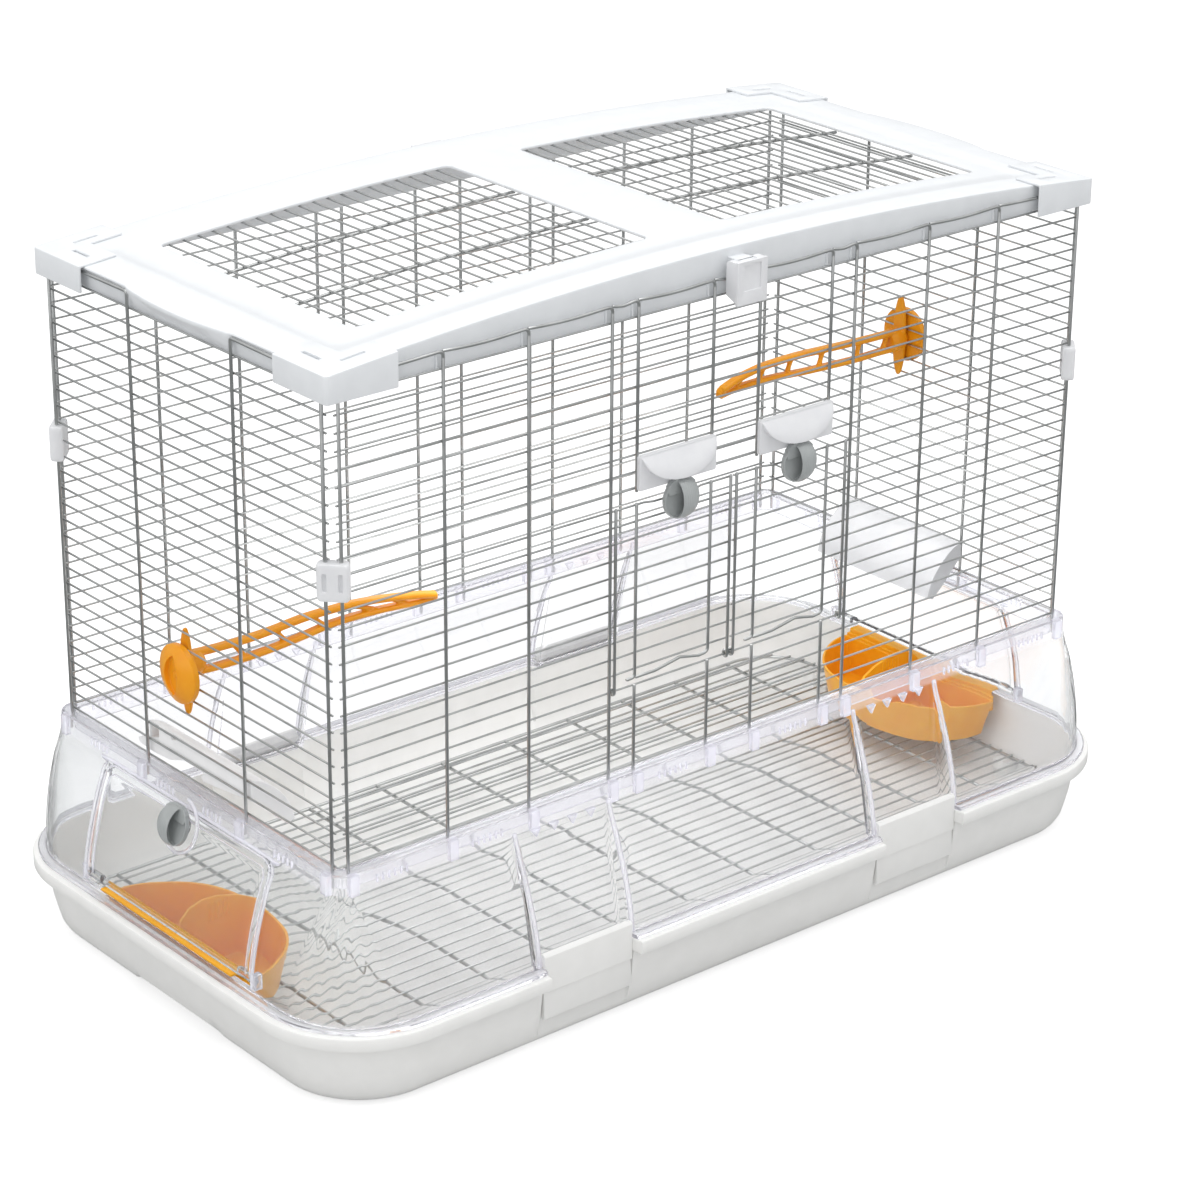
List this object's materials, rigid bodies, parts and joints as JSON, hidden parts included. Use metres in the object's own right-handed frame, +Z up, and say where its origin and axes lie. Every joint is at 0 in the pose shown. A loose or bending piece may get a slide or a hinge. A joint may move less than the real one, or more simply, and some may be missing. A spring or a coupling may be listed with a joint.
{
  "type": "bird cage",
  "caption": "Long wire bird cage on a clear flared base and off-white tray, with drop-down front doors, clear end doors over orange cups, twisted perches and an arched white roof.",
  "frame": {"origin": "middle of the footprint on the floor", "axes": "+X along the long front, -Y is the front with the two doors, +Z up"},
  "size_m": [0.804, 0.448, 0.558],
  "materials": {
    "wire_zinc": "bright zinc plate, satin",
    "roof_white": "cool white moulded plastic, low gloss",
    "tray_white": "warm off-white moulded plastic, low gloss",
    "clear_plastic": "clear moulded plastic, polished",
    "orange_plastic": "amber orange moulded plastic",
    "grey_plastic": "mid grey moulded plastic",
    "white_plastic": "white moulded plastic"
  },
  "bodies": {
    "tray_body": {"tray": "tray_white", "floor_grate": "wire_zinc"},
    "cage": {"clear_base": "clear_plastic", "front_panel": "wire_zinc", "back_panel": "wire_zinc", "left_panel": "wire_zinc", "right_panel": "wire_zinc", "corner_clip_front_left": "white_plastic", "corner_clip_front_right": "white_plastic", "corner_clip_back_left": "white_plastic", "corner_clip_back_right": "white_plastic", "door_strike_left": "white_plastic", "door_strike_right": "white_plastic", "cup_hood_left": "white_plastic", "cup_hood_right": "white_plastic", "perch_left": "orange_plastic", "perch_right": "orange_plastic"},
    "roof": {"roof_frame": "roof_white", "roof_grille_left": "wire_zinc", "roof_grille_right": "wire_zinc", "roof_cap_front_left": "roof_white", "roof_cap_front_right": "roof_white", "roof_cap_back_left": "roof_white", "roof_cap_back_right": "roof_white"},
    "front_door_left_body": {"front_door_left": "wire_zinc", "front_door_left_clamp": "grey_plastic"},
    "front_knob_left": {"front_door_left_knob": "grey_plastic"},
    "end_door_left_body": {"end_door_left": "clear_plastic"},
    "end_knob_left": {"end_door_left_knob": "grey_plastic"},
    "cup_left": {"feed_cup_left": "orange_plastic"},
    "perch_nut_left": {"perch_left_nut": "orange_plastic"},
    "front_door_right_body": {"front_door_right": "wire_zinc", "front_door_right_clamp": "grey_plastic"},
    "front_knob_right": {"front_door_right_knob": "grey_plastic"},
    "end_door_right_body": {"end_door_right": "clear_plastic"},
    "end_knob_right": {"end_door_right_knob": "grey_plastic"},
    "cup_right": {"feed_cup_right": "orange_plastic"},
    "perch_nut_right": {"perch_right_nut": "orange_plastic"},
    "roof_clip_front_body": {"roof_clip_front": "white_plastic"},
    "latch_front_left": {"tray_latch_front_left": "tray_white"},
    "latch_front_right": {"tray_latch_front_right": "tray_white"},
    "roof_clip_back_body": {"roof_clip_back": "white_plastic"},
    "latch_back_left": {"tray_latch_back_left": "tray_white"},
    "latch_back_right": {"tray_latch_back_right": "tray_white"}
  },
  "joints": [
    {"name": "cage_lift", "type": "slide", "parent": "tray_body", "child": "cage", "axis": [0, 0, 1], "range_m": [0, 0.15]},
    {"name": "roof_lift", "type": "slide", "parent": "cage", "child": "roof", "axis": [0, 0, 1], "range_m": [0, 0.08]},
    {"name": "front_door_left_swing", "type": "hinge", "parent": "cage", "child": "front_door_left_body", "pos_m": [-0.05725, -0.1728, 0.24425], "axis": [1, 0, 0], "range_deg": [0, 110]},
    {"name": "front_knob_left_turn", "type": "hinge", "parent": "front_door_left_body", "child": "front_knob_left", "pos_m": [-0.05725, -0.1776, 0.3845], "axis": [0, -1, 0], "range_deg": [0, 90]},
    {"name": "end_door_left_swing", "type": "hinge", "parent": "cage", "child": "end_door_left_body", "pos_m": [-0.385, 0, 0.076], "axis": [0, -1, 0], "range_deg": [0, 90]},
    {"name": "end_knob_left_turn", "type": "hinge", "parent": "end_door_left_body", "child": "end_knob_left", "pos_m": [-0.3735, 0, 0.1526], "axis": [-0.9563, 0, 0.2924], "range_deg": [0, 90]},
    {"name": "cup_left_out", "type": "slide", "parent": "cage", "child": "cup_left", "axis": [1, 0, 0], "range_m": [0, 0.06]},
    {"name": "perch_nut_left_turn", "type": "hinge", "parent": "cage", "child": "perch_nut_left", "pos_m": [-0.36, 0.014, 0.26338], "axis": [1, 0, 0], "continuous": true},
    {"name": "front_door_right_swing", "type": "hinge", "parent": "cage", "child": "front_door_right_body", "pos_m": [0.05725, -0.1728, 0.24425], "axis": [1, 0, 0], "range_deg": [0, 110]},
    {"name": "front_knob_right_turn", "type": "hinge", "parent": "front_door_right_body", "child": "front_knob_right", "pos_m": [0.05725, -0.1776, 0.3845], "axis": [0, -1, 0], "range_deg": [0, 90]},
    {"name": "end_door_right_swing", "type": "hinge", "parent": "cage", "child": "end_door_right_body", "pos_m": [0.385, 0, 0.076], "axis": [0, 1, 0], "range_deg": [0, 90]},
    {"name": "end_knob_right_turn", "type": "hinge", "parent": "end_door_right_body", "child": "end_knob_right", "pos_m": [0.3735, 0, 0.1526], "axis": [0.9563, 0, 0.2924], "range_deg": [0, 90]},
    {"name": "cup_right_out", "type": "slide", "parent": "cage", "child": "cup_right", "axis": [-1, 0, 0], "range_m": [0, 0.06]},
    {"name": "perch_nut_right_turn", "type": "hinge", "parent": "cage", "child": "perch_nut_right", "pos_m": [0.36, 0.014, 0.36538], "axis": [1, 0, 0], "continuous": true},
    {"name": "roof_clip_front_swing", "type": "hinge", "parent": "roof", "child": "roof_clip_front_body", "pos_m": [0, -0.1815, 0.547], "axis": [-1, 0, 0], "range_deg": [0, 70]},
    {"name": "latch_front_left_swing", "type": "hinge", "parent": "cage", "child": "latch_front_left", "pos_m": [-0.166, -0.2072, 0.072], "axis": [-1, 0, 0], "range_deg": [0, 60]},
    {"name": "latch_front_right_swing", "type": "hinge", "parent": "cage", "child": "latch_front_right", "pos_m": [0.166, -0.2072, 0.072], "axis": [-1, 0, 0], "range_deg": [0, 60]},
    {"name": "roof_clip_back_swing", "type": "hinge", "parent": "roof", "child": "roof_clip_back_body", "pos_m": [0, 0.1815, 0.547], "axis": [1, 0, 0], "range_deg": [0, 70]},
    {"name": "latch_back_left_swing", "type": "hinge", "parent": "cage", "child": "latch_back_left", "pos_m": [-0.166, 0.2072, 0.072], "axis": [1, 0, 0], "range_deg": [0, 60]},
    {"name": "latch_back_right_swing", "type": "hinge", "parent": "cage", "child": "latch_back_right", "pos_m": [0.166, 0.2072, 0.072], "axis": [1, 0, 0], "range_deg": [0, 60]}
  ]
}
